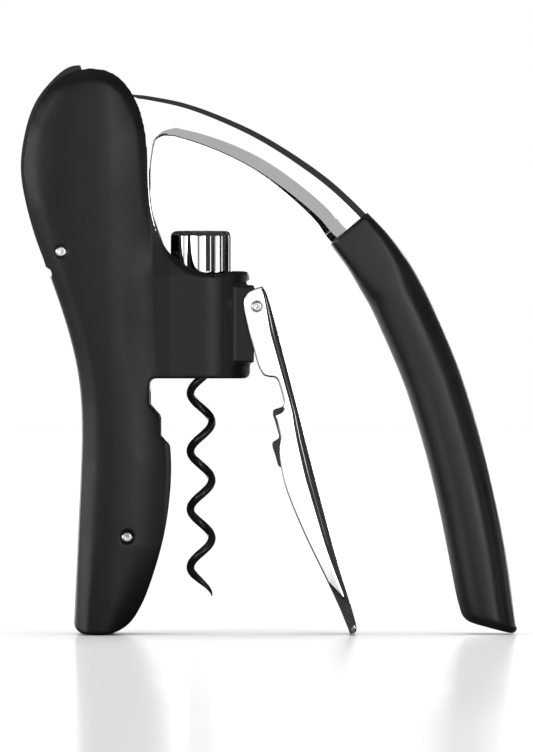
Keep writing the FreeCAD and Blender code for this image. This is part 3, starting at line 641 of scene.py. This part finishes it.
def quarter(radius, z, size, start, end, steps):
    """Points of a rounded rim between two angles, inside a corner of that radius and height."""
    angles = np.linspace(start, end, steps)
    return [(radius - size * (1 - math.cos(a)), z + size * math.sin(a)) for a in angles]


def make_knob(materials):
    """The release knob: lobed outside, with a rounded rim, a round well on top and a bore below it."""
    foot = quarter(KNOB_R, 101.1, 0.8, -math.pi / 2, 0, 5)
    rim = quarter(KNOB_R, 111.2, 1.6, 0, math.pi / 2, 7)
    well = [(5.9, 112.8), (5.6, 112.5)]
    bore = [(5.6, 109.4), (4.05, 109.4), (4.05, 100.3)]
    wall = [(KNOB_R, 101.5), (KNOB_R, 110.8)]
    profile = bore + foot + wall + rim + well
    turn = round_angles(KNOB_COUNT)
    lobed, plain = knob_scale(turn), np.ones(KNOB_COUNT)
    loops = []
    for radius, z in profile + profile[:1]:
        r = radius * (lobed if radius > 6 else plain)
        loops.append(np.stack([WORM_X + r * np.cos(turn), r * np.sin(turn), np.full(KNOB_COUNT, z)], 1))
    piece = loft("knob", loops, 40, capped=False)
    finish_piece(piece, materials, "dark_chrome", "knob", "release_knob")


def make_worm_wire(materials):
    """The worm's wire along its helix, drawn out to a point."""
    shoulder = 18.0              # height where the wire has its full size, and where steps get longer
    z = np.concatenate([np.linspace(WORM_TIP_Z, shoulder, 36)[:-1], np.linspace(shoulder, WORM_TOP_Z, 260)])
    angle = math.pi + 2 * math.pi * (z - WORM_LEFT_Z) / WORM_PITCH
    out = np.stack([np.cos(angle), np.sin(angle), np.zeros(len(z))], 1)
    path = np.array([WORM_X, 0, 0]) + WORM_HELIX_R * out + np.outer(z, [0, 0, 1])
    climb = np.full(len(z), WORM_PITCH / 2 / math.pi)
    along = np.stack([-WORM_HELIX_R * np.sin(angle), WORM_HELIX_R * np.cos(angle), climb], 1)
    along /= np.linalg.norm(along, axis=1)[:, None]
    up = np.cross(along, out)
    size = WORM_WIRE_R * np.clip(0.08 + (z - WORM_TIP_Z) / 6.5, 0, 1) ** 0.75
    turn = round_angles(24)
    loops = [p + r * (np.outer(np.cos(turn), o) + np.outer(np.sin(turn), u))
             for p, r, o, u in zip(path, size, out, up)]
    wire = loft("worm_wire", loops, 60)
    finish_piece(wire, materials, "worm_black", "worm")


def make_worm_stem(materials):
    """The worm's flange and stem, with a groove for its ring."""
    flange = [(0.2, 85.8), (3.9, 85.8), (4.3, 86.1), (4.3, 86.8), (4.1, 87.0)]
    groove = [(2.6, 94.9), (2.0, 94.95), (2.0, 95.65), (2.6, 95.7)]
    profile = flange + [(2.6, 87.05)] + groove + [(2.6, 96.1), (2.4, 96.3), (0.2, 96.3)]
    stem = turned("worm_stem", profile, (WORM_X, 0), "z", 48)
    finish_piece(stem, materials, "pin_steel", "worm", "worm")


def make_pin(name, node, centre, half, materials):
    """A steel pin with domed heads, across the object."""
    side = [(0.05, half - 0.12), (PIN_R * 0.45, half - 0.02), (PIN_R * 0.75, half),
            (PIN_R - 0.12, half - 0.1), (PIN_R, half - 0.25)]
    profile = [(r, -y) for r, y in side] + [(r, y) for r, y in reversed(side)]
    piece = turned(name, profile, centre, "y", 40)
    finish_piece(piece, materials, "pin_steel", "frame", node)


def make_pins(materials):
    """The three pins whose heads show: two flush with the domed housing, and the clamp's hinge."""
    proud = 0.1
    for name, node, centre in (("rear_link_rivet", "rear_link_pin", REAR_LINK_PIN),
                               ("liner_rivet", "liner_pin", LINER_PIN)):
        make_pin(name, node, centre, HOUSING_HALF + proud - crown(*centre)[0], materials)
    make_pin("clamp_hinge", "clamp_hinge_pin", CLAMP_HINGE, CLAMP_HALF + 2 * proud, materials)


def dress_cad_nodes(materials):
    """Gives each CAD node that stays its finished material."""
    finishes = {
        "jaw_rubber": ["body_jaw_liner"],
        "seat_rubber": ["bottle_seat_ring"],
        "link_black": ["rear_link"],
        "nut_resin": ["worm_nut", "head_rollers", "thrust_washer"],
        "pin_steel": ["nut_retainer", "clamp_washers", "clamp_stop_pin", "clamp_rivet", "clamp_spring",
                      "grip_rivets", "lever_head_pin", "carriage_block", "carriage_pivot_screws", "knob_post",
                      "worm_ring"],
        "chrome": ["knob_screw"],
    }
    for finish, names in finishes.items():
        for name in names:
            use(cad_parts[name], materials[finish])


# ---------------------------------------------------------------- stage, light and camera
def make_stage():
    """A pale floor with a faint gloss. In the object's own reflections it carries a painted shadow: dark
    beneath the object, grey round it and white further off."""
    span, depth, level = 6000, 9000, -0.05               # millimetres
    gloss_share = 0.43
    floor = add_mesh("floor", [(-span, -span, level), (span, -span, level), (span, depth, level),
                               (-span, depth, level)], [(0, 1, 2, 3)])
    n = Nodes("floor", (0.9, 0.9, 0.9), 0.5)
    n.shader.inputs["Specular IOR Level"].default_value = 0.0
    gloss = n.add("ShaderNodeBsdfGlossy")
    n.link(n.ramp(n.noise(3, 3), 0.12, 0.18, 0.3, 0.7), gloss.inputs["Roughness"])
    sheet = n.add("ShaderNodeMixShader")
    sheet.inputs[0].default_value = gloss_share
    n.link(n.shader.outputs[0], sheet.inputs[1])
    n.link(gloss.outputs[0], sheet.inputs[2])
    grey = n.add("ShaderNodeBsdfDiffuse")
    away = n.add("ShaderNodeVectorMath", operation="LENGTH")
    n.link(n.place, away.inputs[0])
    distance = away.outputs["Value"]                     # from the object, in metres
    # painted shadow, seen only in reflections: near black beneath the object, grey round it, white further
    # off
    painted_shadow_near = n.blend(n.ramp(distance, 0, 1, 0.145, 0.165), (0.03, 0.03, 0.03), (0.36, 0.36, 0.36))
    shade = n.blend(n.ramp(distance, 0, 1, 0.5, 0.7), painted_shadow_near, (0.9, 0.9, 0.9))
    n.link(shade, grey.inputs["Color"])
    mix = n.add("ShaderNodeMixShader")
    n.link(n.add("ShaderNodeLightPath").outputs["Is Glossy Ray"], mix.inputs[0])
    n.link(sheet.outputs[0], mix.inputs[1])
    n.link(grey.outputs[0], mix.inputs[2])
    n.link(mix.outputs[0], n.tree.nodes["Material Output"].inputs["Surface"])
    use(floor, n.material)


class Sky:
    """A short way to build the world's nodes."""

    def __init__(self, world):
        self.tree = world.node_tree
        self.tree.nodes.clear()

    def add(self, kind, *links, **values):
        """A node, with links to its first sockets."""
        node = self.tree.nodes.new(kind)
        for key, value in values.items():
            setattr(node, key, value)
        for socket, source in enumerate(links):
            self.tree.links.new(source, node.inputs[socket])
        return node

    def step(self, value, start, end):
        """0 below start, growing smoothly to 1 at end."""
        ramp = self.add("ShaderNodeMapRange", value, interpolation_type="SMOOTHSTEP")
        ramp.inputs["From Min"].default_value = start
        ramp.inputs["From Max"].default_value = end
        return ramp.outputs["Result"]

    def window(self, value, low, high, soft):
        """1 between low and high, 0 outside, with soft edges."""
        edges = self.step(value, low - soft, low + soft), self.step(value, high - soft, high + soft)
        return self.add("ShaderNodeMath", *edges, operation="SUBTRACT").outputs[0]

    def scaled(self, value, factor, more):
        """Value times the factor, plus more."""
        node = self.add("ShaderNodeMath", value, operation="MULTIPLY_ADD")
        for socket, part in ((1, factor), (2, more)):
            if isinstance(part, float):
                node.inputs[socket].default_value = part
            else:
                self.tree.links.new(part, node.inputs[socket])
        return node.outputs[0]


def make_world():
    """White where the camera looks past the object. In reflections there are the upright screens of
    LAMPS, in front and again behind, with darkness between them and overhead."""
    world = bpy.data.worlds.new("studio")
    bpy.context.scene.world = world
    world.use_nodes = True
    sky = Sky(world)
    split = sky.add("ShaderNodeSeparateXYZ", sky.add("ShaderNodeTexCoord").outputs["Generated"])
    ahead = sky.add("ShaderNodeMath", split.outputs["Y"], operation="ABSOLUTE").outputs[0]
    bearing = sky.add("ShaderNodeMath", split.outputs["X"], ahead, operation="ARCTAN2").outputs[0]
    strength = 0.0
    for low, high, soft, level in LAMPS:
        strength = sky.scaled(sky.window(bearing, low, high, soft), level, strength)
    height = sky.window(split.outputs["Z"], *LAMP_HEIGHTS)
    lit = sky.add("ShaderNodeBackground")
    sky.tree.links.new(sky.scaled(strength, height, DARKNESS), lit.inputs["Strength"])
    white = sky.add("ShaderNodeBackground")
    for back in (lit, white):
        back.inputs["Color"].default_value = (1, 1, 1, 1)
    seen = sky.add("ShaderNodeLightPath").outputs["Is Camera Ray"]
    mix = sky.add("ShaderNodeMixShader", seen, lit.outputs[0], white.outputs[0])
    sky.add("ShaderNodeOutputWorld", mix.outputs[0])


def make_lights():
    """A soft overhead light, which whitens the floor and shows in no reflection."""
    sun = bpy.data.lights.new("overhead", "SUN")
    sun.energy = OVERHEAD
    sun.angle = math.radians(OVERHEAD_SPREAD)
    lamp = bpy.data.objects.new("overhead", sun)
    lamp.visible_glossy = False
    bpy.context.scene.collection.objects.link(lamp)


def make_camera():
    """A long lens near the height of the object's middle, from far enough off to show little perspective."""
    camera = bpy.data.cameras.new("camera")
    camera.sensor_fit = "AUTO"
    camera.sensor_width = SENSOR
    camera.lens = SENSOR * -EYE[1] / VIEW_HEIGHT
    camera.clip_start = 0.01
    camera.clip_end = 100
    eye = bpy.data.objects.new("camera", camera)
    eye.location = EYE
    eye.rotation_euler = (math.radians(90), 0, 0)
    bpy.context.scene.collection.objects.link(eye)
    bpy.context.scene.camera = eye
    bpy.context.scene.view_settings.view_transform = "Standard"


def make_materials():
    """Every material, by name."""
    black, worn_black = (0.005, 0.0047, 0.0055), (0.008, 0.0077, 0.0088)
    link, worn_link = (0.006, 0.0057, 0.0065), (0.010, 0.0096, 0.0108)
    grip, worn_grip = (0.007, 0.0067, 0.0075), (0.011, 0.0106, 0.0118)
    return {
        "soft_black": soft_black("soft_black", black, worn_black, 0.31, 0.26),
        "link_black": soft_black("link_black", link, worn_link, 0.31, 0.34),
        "grip_black": soft_black("grip_black", grip, worn_grip, 0.33, 0.45, 0.6),
        "chrome": chrome("chrome"),
        "dark_chrome": chrome("dark_chrome", (0.80, 0.80, 0.82), 0.04),
        "pin_steel": turned_steel("pin_steel"),
        "worm_black": coated_wire("worm_black"),
        "jaw_rubber": rubber("jaw_rubber", (0.016, 0.016, 0.018), 0.3),
        "seat_rubber": rubber("seat_rubber", (0.03, 0.03, 0.032)),
        "nut_resin": resin("nut_resin"),
    }


def main():
    """Dresses and replaces the CAD nodes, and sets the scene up."""
    materials = make_materials()
    dress_cad_nodes(materials)
    for make in (make_housing, make_arm, make_grip, make_clamp, make_clamp_lining, make_knob, make_worm_wire,
                 make_worm_stem, make_pins):
        make(materials)
    make_stage()
    make_world()
    make_lights()
    make_camera()


main()
